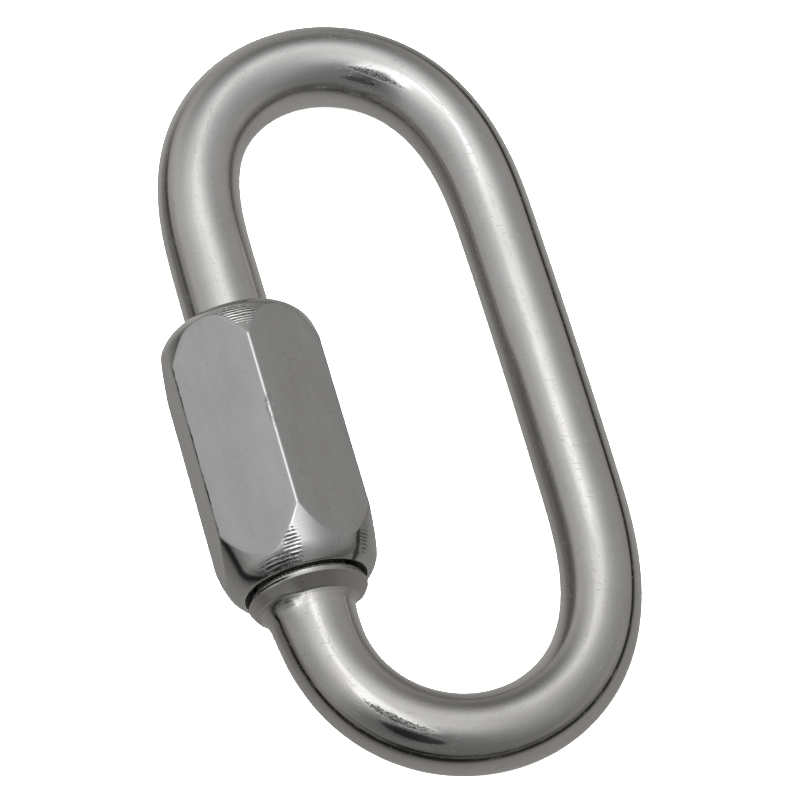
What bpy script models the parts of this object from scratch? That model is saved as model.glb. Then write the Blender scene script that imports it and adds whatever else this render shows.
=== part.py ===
"""Chain quick link.

One round stainless rod is bent to a long oval with a gate in one long side, and a long
hexagonal sleeve nut screws down over the gate until it stops on a collar of the rod.

The link is drawn flat first: X runs from the nut's side to the far side, Y along the link
with 0 at the collar's top, and Z across its plane, with the oval's centreline in Z = 0. The
nut's side sets how long the oval is: collar, nut and shoulder are added up, and the two bends
are scaled to the width. The link is then laid down as it rests, on one corner of the nut and
on the far side.
"""
import math

import bmesh
import bpy
from mathutils import Vector

MM = 0.001

# Oval, measured along the centreline of the rod
CENTRE_WIDTH = 18.06 * MM
FAR_SIDE_BOW = 0.21 * MM

# Share of each bend over which its curvature grows, from the nut's side, and fades again
UPPER_GROWTH = 0.267
UPPER_FADE = 0.340
LOWER_GROWTH = 0.063
LOWER_FADE = 0.378

# Rod, which is a little thicker towards its two upset ends
ROD_RADIUS = 2.48 * MM
UPPER_SHOULDER_LENGTH = 3.89 * MM
UPPER_BEND_RADIUS = 2.60 * MM
UPPER_SHOULDER_RADIUS = 2.67 * MM
LOWER_SHOULDER_RADIUS = 2.55 * MM

# Thread, as a plain cylinder between its crests and roots
THREAD_RADIUS = 2.80 * MM
THREAD_CHAMFER = 0.45 * MM
THREAD_RUNOUT = 0.60 * MM
STUB_LENGTH = 3.3 * MM
GATE_OPENING = 6.0 * MM

# Collar that stops the nut, forged in one piece with the rod
STOP_LIP = 0.37 * MM
STOP_RIM_HEIGHT = 0.42 * MM
STOP_EDGE = 0.12 * MM
STOP_CONE_HEIGHT = 0.75 * MM
STOP_FOOT_RADIUS = 2.80 * MM
STOP_NECK_LENGTH = 0.36 * MM

# Ridges beside the collar, in the link's plane, where the forging dies met
OUTER_FLASH_HEIGHT = 0.62 * MM
OUTER_FLASH_TAPER = 4.4 * MM
INNER_FLASH_HEIGHT = 0.72 * MM
INNER_FLASH_TAPER = 2.4 * MM
FLASH_FADE = 3
FLASH_NARROWNESS = 4

# Sleeve nut
NUT_LENGTH = 17.84 * MM
NUT_ACROSS_FLATS = 9.39 * MM
NUT_EDGE_BEVEL = 0.10 * MM
NUT_TURN = math.radians(1.7)
NUT_RIM_WIDTH = 0.43 * MM
NUT_END_ROUND = 1.88 * MM
NUT_END_SLOPE = math.radians(62.0)
NUT_CONE_SLOPE = math.radians(16.0)
NUT_COUNTERSINK = 0.35 * MM
NUT_SEAT_GAP = 0.30 * MM
THREAD_CLEARANCE = 0.35 * MM

# Fineness of the faceted surfaces
ROD_BEVEL_RESOLUTION = 10
BEND_STEPS = 40
SIDE_STEPS = 8
NUT_STEPS = 60
ARC_STEPS = 5
CONE_STEPS = 4
STEP_WIDTH = 0.02 * MM
MERGE_DISTANCE = 0.002 * MM
CUTTER_MARGIN = 0.5 * MM
SHARP_ANGLE = math.radians(30)

NUT_SIDE = -CENTRE_WIDTH / 2
FAR_SIDE = CENTRE_WIDTH / 2
LOWER_BEND_START = -(STOP_RIM_HEIGHT + STOP_CONE_HEIGHT + STOP_NECK_LENGTH)
NUT_TOP_END = NUT_SEAT_GAP + NUT_LENGTH
UPPER_BEND_START = NUT_TOP_END + UPPER_SHOULDER_LENGTH
UPPER_THREAD_END = STUB_LENGTH + GATE_OPENING
NUT_CORNER_RADIUS = NUT_ACROSS_FLATS / 2 / math.cos(math.radians(30))
NUT_BORE_RADIUS = THREAD_RADIUS + THREAD_CLEARANCE
NUT_MOUTH_RADIUS = NUT_BORE_RADIUS + NUT_COUNTERSINK
NUT_RIM_RADIUS = NUT_MOUTH_RADIUS + NUT_RIM_WIDTH
STOP_RADIUS = NUT_BORE_RADIUS + STOP_LIP


def clear_scene():
    """Take out whatever the file starts with."""
    for thing in list(bpy.data.objects):
        bpy.data.objects.remove(thing, do_unlink=True)


def new_collection(name):
    """Make a collection under the scene's own."""
    group = bpy.data.collections.new(name)
    bpy.context.scene.collection.children.link(group)
    return group


def move_to(thing, group):
    """Keep an object in one collection only."""
    for home in list(thing.users_collection):
        home.objects.unlink(thing)
    group.objects.link(thing)


def steel(name, colour, roughness):
    """Stainless steel with a satin polish."""
    material = bpy.data.materials.new(name)
    material.use_nodes = True
    shader = material.node_tree.nodes["Principled BSDF"]
    shader.inputs["Base Color"].default_value = (*colour, 1.0)
    shader.inputs["Metallic"].default_value = 1.0
    shader.inputs["Roughness"].default_value = roughness
    return material


def bend_points(growth, fade):
    """Half turn from the nut's side to the far side, starting at the origin along +Y.

    Its curvature grows along the first share, holds, and fades along the last share, so the
    straight sides run into the bend without a kink. It is scaled to the oval's width.
    """
    peak = math.pi / (1 - (growth + fade) / 2)
    length = 1 / BEND_STEPS
    x = y = turned = 0.0
    points = [Vector((x, y))]
    for step in range(BEND_STEPS):
        share = (step + 0.5) * length
        curvature = peak * min(share / growth, (1 - share) / fade, 1)
        heading = turned + curvature * length / 2
        x += math.sin(heading) * length
        y += math.cos(heading) * length
        turned += curvature * length
        points.append(Vector((x, y)))
    scale = CENTRE_WIDTH / points[-1].x
    return [point * scale for point in points]


def oval_line():
    """The oval's open centreline, from the lower bend's start round to the upper bend's start.

    Each point is (x, y, share of the way round the bend that it lies on, bend's name).
    """
    lower = bend_points(LOWER_GROWTH, LOWER_FADE)
    upper = bend_points(UPPER_GROWTH, UPPER_FADE)
    low_crown = LOWER_BEND_START - max(point.y for point in lower)
    high_crown = UPPER_BEND_START + max(point.y for point in upper)
    foot = LOWER_BEND_START - lower[-1].y
    head = UPPER_BEND_START + upper[-1].y

    line = []
    for step, point in enumerate(lower):
        line.append((point.x, LOWER_BEND_START - point.y, step / BEND_STEPS, "lower"))
    for step in range(1, SIDE_STEPS):
        share = step / SIDE_STEPS
        line.append((CENTRE_WIDTH, foot + (head - foot) * share, share, "side"))
    for step, point in enumerate(reversed(upper)):
        line.append((point.x, UPPER_BEND_START + point.y, step / BEND_STEPS, "upper"))
    return [(bowed(NUT_SIDE + x, y, low_crown, high_crown), y, share, name)
            for x, y, share, name in line]


def bowed(x, y, low_crown, high_crown):
    """Push the far side outwards a little, most half way between the two crowns."""
    from_middle = (2 * y - low_crown - high_crown) / (high_crown - low_crown)
    along = max(1 - from_middle ** 2, 0)
    across = max(x / FAR_SIDE, 0)
    return x + FAR_SIDE_BOW * (along * across) ** 2


def rod_radius(share, name):
    """The rod is a little thicker towards the ends that were upset for the threads."""
    first, last = {
        "lower": (LOWER_SHOULDER_RADIUS, ROD_RADIUS),
        "side": (ROD_RADIUS, ROD_RADIUS),
        "upper": (ROD_RADIUS, UPPER_BEND_RADIUS),
    }[name]
    return first + (last - first) * share


def rod_stations():
    """Places and radii along the rod, from the lower thread's end round to the upper one's.

    Each station is (x, y, radius).
    """
    cone_foot = -STOP_RIM_HEIGHT - STOP_CONE_HEIGHT
    cone = []
    for step in range(CONE_STEPS + 1):
        share = step / CONE_STEPS
        height = -STOP_RIM_HEIGHT - STOP_CONE_HEIGHT * share
        cone.append((NUT_SIDE, height, STOP_RADIUS + (STOP_FOOT_RADIUS - STOP_RADIUS) * share))
    stations = [
        (NUT_SIDE, STUB_LENGTH, THREAD_RADIUS - THREAD_CHAMFER),
        (NUT_SIDE, STUB_LENGTH - THREAD_CHAMFER, THREAD_RADIUS),
        (NUT_SIDE, STEP_WIDTH, THREAD_RADIUS),
        (NUT_SIDE, 0, STOP_RADIUS - STOP_EDGE),
        (NUT_SIDE, -STOP_EDGE, STOP_RADIUS),
        *cone,
        (NUT_SIDE, cone_foot - STEP_WIDTH, LOWER_SHOULDER_RADIUS),
    ]
    stations += [(x, y, rod_radius(share, name)) for x, y, share, name in oval_line()]
    stations += [
        (NUT_SIDE, NUT_TOP_END, UPPER_SHOULDER_RADIUS),
        (NUT_SIDE, NUT_TOP_END - THREAD_RUNOUT, THREAD_RADIUS),
        (NUT_SIDE, UPPER_THREAD_END + THREAD_CHAMFER, THREAD_RADIUS),
        (NUT_SIDE, UPPER_THREAD_END, THREAD_RADIUS - THREAD_CHAMFER),
    ]
    return stations


def finished_solid(draft, name, group, material):
    """Replace a curve or a modified mesh by one closed mesh, smooth but for its real edges."""
    bpy.context.view_layer.update()
    graph = bpy.context.evaluated_depsgraph_get()
    mesh = bpy.data.meshes.new_from_object(draft.evaluated_get(graph))
    cage = bmesh.new()
    cage.from_mesh(mesh)
    bmesh.ops.remove_doubles(cage, verts=cage.verts, dist=MERGE_DISTANCE)
    bmesh.ops.recalc_face_normals(cage, faces=cage.faces)
    cage.to_mesh(mesh)
    cage.free()
    solid = bpy.data.objects.new(name, mesh)
    solid.matrix_world = draft.matrix_world
    group.objects.link(solid)
    bpy.data.objects.remove(draft, do_unlink=True)
    mesh.name = name
    mesh.materials.clear()
    mesh.materials.append(material)
    mesh.shade_smooth()
    mesh.set_sharp_from_angle(angle=SHARP_ANGLE)
    return solid


def flash_height(y, height, taper):
    """Height of a flash ridge: it rises to the middle of the collar's cone, then tapers off."""
    peak = -STOP_RIM_HEIGHT - STOP_CONE_HEIGHT / 2
    if y > peak:
        return height * max(y / peak, 0)
    return height * max(1 - (peak - y) / taper, 0) ** FLASH_FADE


def raise_flash(body):
    """Swell the rod beside the collar, away from the oval's middle and towards it."""
    centres = [Vector((x, y, 0)) for x, y, radius in rod_stations() if x < 0]
    for vertex in body.data.vertices:
        if vertex.co.x > 0 or vertex.co.y > 0:
            continue
        centre = min(centres, key=lambda place: (vertex.co - place).length)
        outward = (vertex.co - centre).normalized()
        outer = flash_height(centre.y, OUTER_FLASH_HEIGHT, OUTER_FLASH_TAPER)
        inner = flash_height(centre.y, INNER_FLASH_HEIGHT, INNER_FLASH_TAPER)
        swell = outer * max(-outward.x, 0) ** FLASH_NARROWNESS
        swell += inner * max(outward.x, 0) ** FLASH_NARROWNESS
        vertex.co += outward * swell


def make_link_body(group, material):
    """The rod: one sweep whose radius changes for the threads, the collar and the upset ends."""
    curve = bpy.data.curves.new("rod_line", "CURVE")
    curve.dimensions = "3D"
    curve.bevel_depth = ROD_RADIUS
    curve.bevel_resolution = ROD_BEVEL_RESOLUTION
    curve.use_fill_caps = True
    stations = rod_stations()
    spline = curve.splines.new("POLY")
    spline.points.add(len(stations) - 1)
    for point, (x, y, radius) in zip(spline.points, stations):
        point.co = (x, y, 0, 1)
        point.radius = radius / ROD_RADIUS
    sweep = bpy.data.objects.new("rod_line", curve)
    group.objects.link(sweep)
    body = finished_solid(sweep, "link_body", group, material)
    raise_flash(body)
    return body


def nut_end_profile():
    """Outer profile of one turned end, from the end face's rim to past the corners.

    Each point is (radius, distance from the end face).
    """
    points = []
    for step in range(ARC_STEPS + 1):
        slope = NUT_END_SLOPE + (NUT_CONE_SLOPE - NUT_END_SLOPE) * step / ARC_STEPS
        radius = NUT_RIM_RADIUS + NUT_END_ROUND * (math.cos(slope) - math.cos(NUT_END_SLOPE))
        depth = NUT_END_ROUND * (math.sin(NUT_END_SLOPE) - math.sin(slope))
        points.append((radius, depth))
    clear_radius = NUT_CORNER_RADIUS + CUTTER_MARGIN
    radius, depth = points[-1]
    depth += (clear_radius - radius) / math.tan(NUT_CONE_SLOPE)
    points.append((clear_radius, depth))
    return points


def nut_profile():
    """Closed profile of the turned sleeve, as (radius, height), its outer side top to bottom."""
    half = NUT_LENGTH / 2
    end = nut_end_profile()
    top = [(radius, half - depth) for radius, depth in end]
    bottom = [(radius, depth - half) for radius, depth in reversed(end)]
    bore = [
        (NUT_MOUTH_RADIUS, -half),
        (NUT_BORE_RADIUS, NUT_COUNTERSINK - half),
        (NUT_BORE_RADIUS, half - NUT_COUNTERSINK),
        (NUT_MOUTH_RADIUS, half),
    ]
    return top + bottom + bore


def make_hex_bar(cutters):
    """The hexagonal bar that the nut is cut from, with its long edges just broken."""
    bpy.ops.mesh.primitive_cylinder_add(
        vertices=6,
        radius=NUT_CORNER_RADIUS,
        depth=NUT_LENGTH + 2 * CUTTER_MARGIN,
        end_fill_type="NGON",
    )
    bar = bpy.context.active_object
    bar.name = "hex_bar"
    bar.hide_render = True
    bar.display_type = "WIRE"
    edge = bar.modifiers.new("broken_edges", "BEVEL")
    edge.width = NUT_EDGE_BEVEL
    edge.segments = 2
    edge.limit_method = "ANGLE"
    move_to(bar, cutters)
    return bar


def make_sleeve_nut(group, cutters, material):
    """The nut: a turned sleeve with rounded ends, cut to a hexagon by the bar's flats."""
    profile = nut_profile()
    mesh = bpy.data.meshes.new("nut_profile")
    edges = [(i, (i + 1) % len(profile)) for i in range(len(profile))]
    mesh.from_pydata([(radius, 0, height) for radius, height in profile], edges, [])
    sleeve = bpy.data.objects.new("turned_sleeve", mesh)
    group.objects.link(sleeve)

    turning = sleeve.modifiers.new("turned", "SCREW")
    turning.steps = NUT_STEPS
    turning.render_steps = NUT_STEPS
    turning.use_merge_vertices = True
    turning.merge_threshold = MERGE_DISTANCE

    hex_bar = make_hex_bar(cutters)
    flats = sleeve.modifiers.new("flats", "BOOLEAN")
    flats.operation = "INTERSECT"
    flats.solver = "EXACT"
    flats.object = hex_bar

    # The sleeve's own Z becomes the link's Y, and one corner points almost straight up
    sleeve.location = (NUT_SIDE, NUT_SEAT_GAP + NUT_LENGTH / 2, 0)
    sleeve.rotation_euler = (math.radians(-90), 0, 0)
    hex_bar.location = sleeve.location
    hex_bar.rotation_euler = (math.radians(-90), -NUT_TURN, 0)
    return finished_solid(sleeve, "sleeve_nut", group, material)


def resting_lean():
    """Lean about Y at which a nut corner and the far side touch the ground together."""
    corner = Vector((NUT_SIDE + NUT_CORNER_RADIUS * math.sin(NUT_TURN),
                     -NUT_CORNER_RADIUS * math.cos(NUT_TURN)))
    span = Vector((FAR_SIDE + FAR_SIDE_BOW - corner.x, -corner.y))
    return math.acos(ROD_RADIUS / span.length) - math.atan2(span.x, span.y)


def lay_down(frame, pieces):
    """Lean the link as it rests, stand it on Z = 0 and centre it over the origin."""
    frame.rotation_euler = (0, resting_lean(), 0)
    bpy.context.view_layer.update()
    graph = bpy.context.evaluated_depsgraph_get()
    corners = []
    for piece in pieces:
        shown = piece.evaluated_get(graph)
        corners += [shown.matrix_world @ vertex.co for vertex in shown.data.vertices]
    low = Vector([min(corner[axis] for corner in corners) for axis in range(3)])
    high = Vector([max(corner[axis] for corner in corners) for axis in range(3)])
    frame.location = (-(low.x + high.x) / 2, -(low.y + high.y) / 2, -low.z)
    bpy.context.view_layer.update()


def main():
    clear_scene()
    parts = new_collection("chain_quick_link")
    cutters = new_collection("cutters")
    rod_steel = steel("satin_rod_steel", (0.60, 0.59, 0.57), 0.28)
    nut_steel = steel("turned_nut_steel", (0.55, 0.55, 0.54), 0.32)

    frame = bpy.data.objects.new("link_frame", None)
    parts.objects.link(frame)
    body = make_link_body(parts, rod_steel)
    nut = make_sleeve_nut(parts, cutters, nut_steel)
    for piece in (body, nut):
        piece.parent = frame
    lay_down(frame, [body, nut])


main()
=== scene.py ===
# %% [markdown]
# # A chain quick link, dressed for its portrait
# A quick link joins two lengths of chain: a steel rod bent to a long oval, with a gate in one
# side that a hexagonal sleeve nut screws over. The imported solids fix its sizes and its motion.
# This lesson makes what the eye sees: the bright rod, the duller nut, the threads, the turned ends.
# Every length is in millimetres until the last step of a piece, where it is scaled to metres.

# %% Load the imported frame
import math

import bpy
import numpy as np
from mathutils import Matrix, Vector


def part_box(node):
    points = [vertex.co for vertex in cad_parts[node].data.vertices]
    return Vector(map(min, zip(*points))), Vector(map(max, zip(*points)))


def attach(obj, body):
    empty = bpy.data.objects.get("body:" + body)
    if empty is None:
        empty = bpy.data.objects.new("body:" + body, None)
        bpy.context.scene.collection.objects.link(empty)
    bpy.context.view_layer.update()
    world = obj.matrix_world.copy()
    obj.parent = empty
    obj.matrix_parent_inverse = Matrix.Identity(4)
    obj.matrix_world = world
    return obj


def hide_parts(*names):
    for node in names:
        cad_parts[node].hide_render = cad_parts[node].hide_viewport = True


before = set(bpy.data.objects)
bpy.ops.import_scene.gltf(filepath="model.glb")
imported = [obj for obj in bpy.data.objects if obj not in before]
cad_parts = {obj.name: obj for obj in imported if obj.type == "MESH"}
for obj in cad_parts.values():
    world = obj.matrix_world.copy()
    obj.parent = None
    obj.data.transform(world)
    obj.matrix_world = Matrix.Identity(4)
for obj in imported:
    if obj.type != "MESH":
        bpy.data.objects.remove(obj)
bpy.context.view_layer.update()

MM = 0.001

# %% [markdown]
# ## The link's own flat frame
# It is easiest to draw the link flat: X from the nut's side to the far side, Y along the link
# with 0 at the collar, Z across its plane. The real link lies a little askew, on one corner of
# its nut and on the far side of the oval, so one matrix lays the flat drawing down. A nut looks
# the same after half a turn, so its axis runs through the middle of its box: the matrix is
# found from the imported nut, and no place is copied by hand.

# %% Lay the flat drawing where the solids lie
CENTRE_WIDTH = 18.06
NUT_SEAT_GAP = 0.30
NUT_LENGTH = 17.84
LEAN = math.radians(9.12)
NUT_SIDE = -CENTRE_WIDTH / 2
FAR_SIDE = CENTRE_WIDTH / 2

nut_low, nut_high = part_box("sleeve_nut")
nut_middle = (nut_low + nut_high) / 2
collar_place = Vector((nut_middle.x, nut_low.y - NUT_SEAT_GAP * MM, nut_middle.z))
laid = (
    Matrix.Translation(collar_place)
    @ Matrix.Rotation(LEAN, 4, "Y")
    @ Matrix.Translation((-NUT_SIDE * MM, 0, 0))
    @ Matrix.Scale(MM, 4)
)
print("the collar's middle lies at, in mm:", [round(v / MM, 2) for v in collar_place])

# %% [markdown]
# ## Grids of points
# Both pieces are tubes of some kind, so each can be made from rings of points, one ring after
# another. A Screw or a bevelled curve gives such a tube too, but only with the same radius all
# round. A grid worked out ring by ring may have a helical thread, a pinched collar or a
# hexagon's corners, and its edges fall exactly where a real edge is.


# %% Turn rings of points into a mesh object
def tube_mesh(name, rings, closed=False):
    """Join rings (rows x columns x 3) into one closed tube: capped ends, or joined in a loop."""
    rows, columns = rings.shape[:2]
    index = np.arange(rows * columns).reshape(rows, columns)
    if closed:
        index = np.vstack([index, index[:1]])
    here, ahead = index[:-1], index[1:]
    faces = np.stack(
        [here, ahead, np.roll(ahead, -1, axis=1), np.roll(here, -1, axis=1)], axis=-1
    ).reshape(-1, 4).tolist()
    points = rings.reshape(-1, 3)
    if not closed:
        start, end = rows * columns, rows * columns + 1
        points = np.vstack([points, rings[0].mean(axis=0), rings[-1].mean(axis=0)])
        first, last = index[0], index[-1]
        faces += [[start, a, b] for a, b in zip(first, np.roll(first, -1))]
        faces += [[end, b, a] for a, b in zip(last, np.roll(last, -1))]
    mesh = bpy.data.meshes.new(name)
    mesh.from_pydata(points.tolist(), [], faces)
    mesh.transform(laid)
    mesh.shade_smooth()
    thing = bpy.data.objects.new(name, mesh)
    bpy.context.scene.collection.objects.link(thing)
    print(f"{name}: {len(mesh.vertices)} points, {len(mesh.polygons)} faces")
    return thing


def give_values(thing, name, values, kind="FLOAT"):
    """Keep a value for each point of the mesh, for its material to read."""
    spare = len(thing.data.vertices) - len(values)
    if spare:
        values = np.concatenate([values, np.repeat(values[-1:], spare, axis=0)])
    layer = thing.data.attributes.new(name, kind, "POINT")
    field = "vector" if kind == "FLOAT_VECTOR" else "value"
    layer.data.foreach_set(field, np.asarray(values, np.float32).ravel())


# %% [markdown]
# ## The oval
# A bending machine doesn't make arcs that start at once: the curvature grows over the first
# part of each bend, holds, and fades. Summing up the curvature gives the heading, and summing
# up the heading gives the line, which is then scaled to the oval's width. An arc with straight
# lines would be simpler, but its highlights would show a kink where the two meet.

# %% Draw the centreline of the oval
UPPER_GROWTH = 0.267
UPPER_FADE = 0.340
LOWER_GROWTH = 0.063
LOWER_FADE = 0.378
FAR_SIDE_BOW = 0.21
LOWER_BEND_START = -1.53
UPPER_BEND_START = NUT_SEAT_GAP + NUT_LENGTH + 3.89
BEND_STEPS = 110
SIDE_STEPS = 30


def bend(growth, fade):
    """Half turn from the origin, starting along +Y, as points (x, y)."""
    share = (np.arange(BEND_STEPS) + 0.5) / BEND_STEPS
    shape = np.minimum(np.minimum(share / growth, (1 - share) / fade), 1)
    turn = shape * math.pi / shape.sum()
    heading = np.cumsum(turn) - turn / 2
    steps = np.stack([np.sin(heading), np.cos(heading)], axis=1)
    points = np.vstack([[0, 0], np.cumsum(steps, axis=0)])
    return points * CENTRE_WIDTH / points[-1, 0]


def oval_line():
    """Centreline from the lower bend's start round to the upper bend's start."""
    lower = bend(LOWER_GROWTH, LOWER_FADE) * (1, -1) + (0, LOWER_BEND_START)
    upper = bend(UPPER_GROWTH, UPPER_FADE) + (0, UPPER_BEND_START)
    heights = np.linspace(lower[-1, 1], upper[-1, 1], SIDE_STEPS + 1)[1:-1]
    side = np.stack([np.full_like(heights, CENTRE_WIDTH), heights], axis=1)
    line = np.vstack([lower, side, upper[::-1]]) + (NUT_SIDE, 0)
    low, high = line[:, 1].min(), line[:, 1].max()
    along = 1 - ((2 * line[:, 1] - low - high) / (high - low)) ** 2
    across = np.clip(line[:, 0] / FAR_SIDE, 0, None)
    line[:, 0] += FAR_SIDE_BOW * (np.clip(along, 0, 1) * across) ** 2
    return line


def lengths_along(points):
    """Length of a line from its start to each of its points."""
    return np.concatenate([[0], np.cumsum(np.linalg.norm(np.diff(points, axis=0), axis=1))])


oval = oval_line()
oval_length = lengths_along(oval)[-1]
print(f"oval line: {len(oval)} points, {oval_length:.1f} mm from bend start to bend start")

# %% [markdown]
# ## The rod's thickness
# The two ends were upset, which means squeezed thicker, before their threads were rolled. So
# the rod is stoutest where it enters the nut, and the far side was thinned a little by the
# pull of the bending. A few measured radii, joined by a smooth curve, give that shape.

# %% Rod radius along the way
ROD_SIZES = (
    (0.0, 2.56), (2.2, 2.525), (6.2, 2.475), (33.0, 2.484), (52.0, 2.470),
    (69.0, 2.565), (79.0, 2.53), (86.5, 2.634), (91.6, 2.668), (95.0, 2.67),
)
SMOOTHING_REACH = 2.0


def rod_radius(place):
    """Radius of the rod at a length along the oval, averaged over a short reach."""
    known, radii = np.transpose(ROD_SIZES)
    shifts = np.linspace(-SMOOTHING_REACH, SMOOTHING_REACH, 17)
    weights = np.cos(shifts / SMOOTHING_REACH * math.pi / 2)
    spread = np.interp(place[:, None] + shifts, known, radii)
    return spread @ weights / weights.sum()


# %% [markdown]
# ## Threads
# The thread is a helix of ridges with sides at 60 degrees, a millimetre from one to the next.
# Its height depends only on how far a point is from the middle of the nearest ridge, measured
# along the rod and corrected by the turn round it. One formula serves rod and nut, so that the
# ridges of the one always lie in the grooves of the other, closed and nine turns open.

# %% Thread formula
PITCH = 1.0
STUB_LENGTH = 3.30
GATE_OPENING = 6.00
ROD_CREST = 2.95
ROD_ROOT = 2.42
CREST_SHARE = 0.13
ROOT_SHARE = 0.19


def ridge(along, turn, crest_share=CREST_SHARE, root_share=ROOT_SHARE):
    """1 on a ridge's flat top, 0 in the groove, for places along the rod and turns round it."""
    phase = along / PITCH - turn / (2 * math.pi)
    away = np.abs(phase - np.round(phase)) * 2
    return np.clip((1 - root_share - away) / (1 - root_share - crest_share), 0, 1)


# %% [markdown]
# ## The collar
# The collar was pressed up from the rod between two dies. It has a low round rim, a cone under
# it, and a ridge of metal on each side in the link's plane, where the dies met: a long taper on
# the outer side and a short ear on the inner one. The rim and cone are a profile turned round
# the rod. The ridges are added by how far round the rod a point lies.

# %% Collar profile and the two ridges beside it
RIM_TOP = 0.24
RIM_RADIUS = 3.52
COLLAR_PROFILE = (
    (0.45, 2.50), (0.36, 2.52), (RIM_TOP, 2.72), (RIM_TOP, 3.38), (0.20, 3.49),
    (0.13, RIM_RADIUS + 0.01), (-0.19, RIM_RADIUS), (-0.26, 3.43), (-0.86, 2.71),
    (-0.90, 2.625), (-1.04, 2.592), (-1.10, 2.572), (LOWER_BEND_START, 2.56),
)
OUTER_RIDGE = (
    (-5.2, 0.0), (-3.2, 0.10), (-1.75, 0.25), (-1.3, 0.42), (-0.85, 0.66), (-0.3, 0.33), (0.0, 0.0),
)
INNER_RIDGE = (
    (-2.2, 0.0), (-1.5, 0.03), (-1.2, 0.12), (-1.0, 0.36), (-0.80, 0.60), (-0.4, 0.40), (0.0, 0.0),
)
PROFILE_STEP = 0.025
PROFILE_SOFTNESS = 0.022


def softened(points, step=PROFILE_STEP, softness=PROFILE_SOFTNESS):
    """Walk a profile in small steps and round its corners by averaging over a short reach."""
    points = np.array(points, float)
    walked = lengths_along(points)
    places = np.arange(0, walked[-1] + step / 2, step)
    shifts = np.linspace(-2, 2, 17) * softness
    weights = np.exp(-((shifts / softness) ** 2) / 2)
    around = np.clip(places[:, None] + shifts, 0, walked[-1])
    ends = np.minimum(np.minimum(places, walked[-1] - places) / (2 * softness), 1)[:, None]
    around = places[:, None] + (around - places[:, None]) * ends
    parts = [np.interp(around, walked, points[:, axis]) @ weights / weights.sum() for axis in (0, 1)]
    return np.stack(parts, axis=1)


def ridge_height(heights, along):
    """Extra radius of one of the collar's side ridges, by the place along the link."""
    known, extra = np.transpose(heights)
    return np.interp(along, known, extra)


# %% [markdown]
# ## Sweeping the rod
# Each ring stands square to the centreline. Angle 0 points away from the middle of the oval
# and a quarter turn points up out of its plane. The rings run from the lower stub's end, over
# the collar, round the oval and into the nut again to the upper stub's end.

# %% Rows of the rod: place, direction, length along and radius by angle
ROD_COLUMNS = 96
THREAD_STEP = PITCH / 16
SHOULDER_STEP = 0.3
END_CHAMFER = 0.45
CHAMFER_SLOPE = 1.2
THREAD_RUNOUT = 0.60
RIDGE_SHARPNESS = 4
FLANK_START = 0.30
FLANK_END = 0.73
FLANK_FADE = (-2.6, -0.9)
turns = np.arange(ROD_COLUMNS) * 2 * math.pi / ROD_COLUMNS


def threaded(along, end, away):
    """Radii of a threaded stretch. Its end is chamfered, and away is +1 or -1 from it."""
    radii = ROD_ROOT + (ROD_CREST - ROD_ROOT) * ridge(along[:, None], turns)
    inside = (along - end)[:, None] * away
    return np.minimum(radii, ROD_CREST - END_CHAMFER + inside * CHAMFER_SLOPE)


def collar_rows():
    """Heights and radii of the collar, from the stub's thread down to the lower bend."""
    profile = softened(COLLAR_PROFILE)
    heights, radii = profile[:, 0], profile[:, 1]
    return heights, np.repeat(radii[:, None], ROD_COLUMNS, axis=1)


def with_ridges(heights, radii):
    """Add the outer and the inner ridge to rings near the collar."""
    facing = np.cos(turns)
    slim = np.clip(facing, 0, 1) ** RIDGE_SHARPNESS
    share = np.clip((facing - FLANK_START) / (FLANK_END - FLANK_START), 0, 1)
    broad = share * share * (3 - 2 * share)
    near = np.interp(heights, FLANK_FADE, (0, 1))[:, None]
    outer = ridge_height(OUTER_RIDGE, heights)[:, None] * (slim * (1 - near) + broad * near)
    inner = ridge_height(INNER_RIDGE, heights)[:, None] * np.clip(-facing, 0, 1) ** RIDGE_SHARPNESS
    return radii + outer + inner


def rod_rows():
    """Centre, heading, length along and radii of every ring of the rod."""
    low_stub = np.arange(STUB_LENGTH, COLLAR_PROFILE[0][0], -THREAD_STEP)
    low_radii = threaded(low_stub, STUB_LENGTH, -1)
    collar, collar_radii = collar_rows()

    walked = lengths_along(oval)
    plain = rod_radius(walked)
    down_the_bend = LOWER_BEND_START - walked
    oval_radii = with_ridges(down_the_bend, np.repeat(plain[:, None], ROD_COLUMNS, axis=1))

    thread_start = NUT_SEAT_GAP + NUT_LENGTH - THREAD_RUNOUT
    gate_end = STUB_LENGTH + GATE_OPENING
    shoulder = np.arange(
        UPPER_BEND_START - SHOULDER_STEP, thread_start + THREAD_RUNOUT, -SHOULDER_STEP
    )
    shoulder_radii = np.repeat(
        rod_radius(oval_length + UPPER_BEND_START - shoulder)[:, None], ROD_COLUMNS, axis=1
    )
    high_stub = np.arange(thread_start + THREAD_RUNOUT, gate_end, -THREAD_STEP)
    high_radii = threaded(high_stub, gate_end, 1)
    fade = np.clip((high_stub - thread_start) / THREAD_RUNOUT, 0, 1)[:, None]
    high_radii = high_radii * (1 - fade) + shoulder_radii[-1].mean() * fade

    heights = np.concatenate([low_stub, collar[:-1]])
    centres = np.concatenate([
        np.stack([np.full_like(heights, NUT_SIDE), heights], axis=1),
        oval,
        np.stack([np.full(len(shoulder) + len(high_stub), NUT_SIDE),
                  np.concatenate([shoulder, high_stub])], axis=1),
    ])
    radii = np.vstack([
        low_radii, with_ridges(collar, collar_radii)[:-1], oval_radii, shoulder_radii, high_radii,
    ])
    along = np.concatenate([
        LOWER_BEND_START - heights, walked, oval_length + UPPER_BEND_START - shoulder,
        oval_length + UPPER_BEND_START - high_stub,
    ])
    headings = np.vstack([
        np.tile([0.0, -1.0], (len(heights), 1)),
        np.gradient(oval, walked, axis=0),
        np.tile([0.0, -1.0], (len(shoulder) + len(high_stub), 1)),
    ])
    headings /= np.linalg.norm(headings, axis=1)[:, None]
    return centres, headings, along, radii


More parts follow.
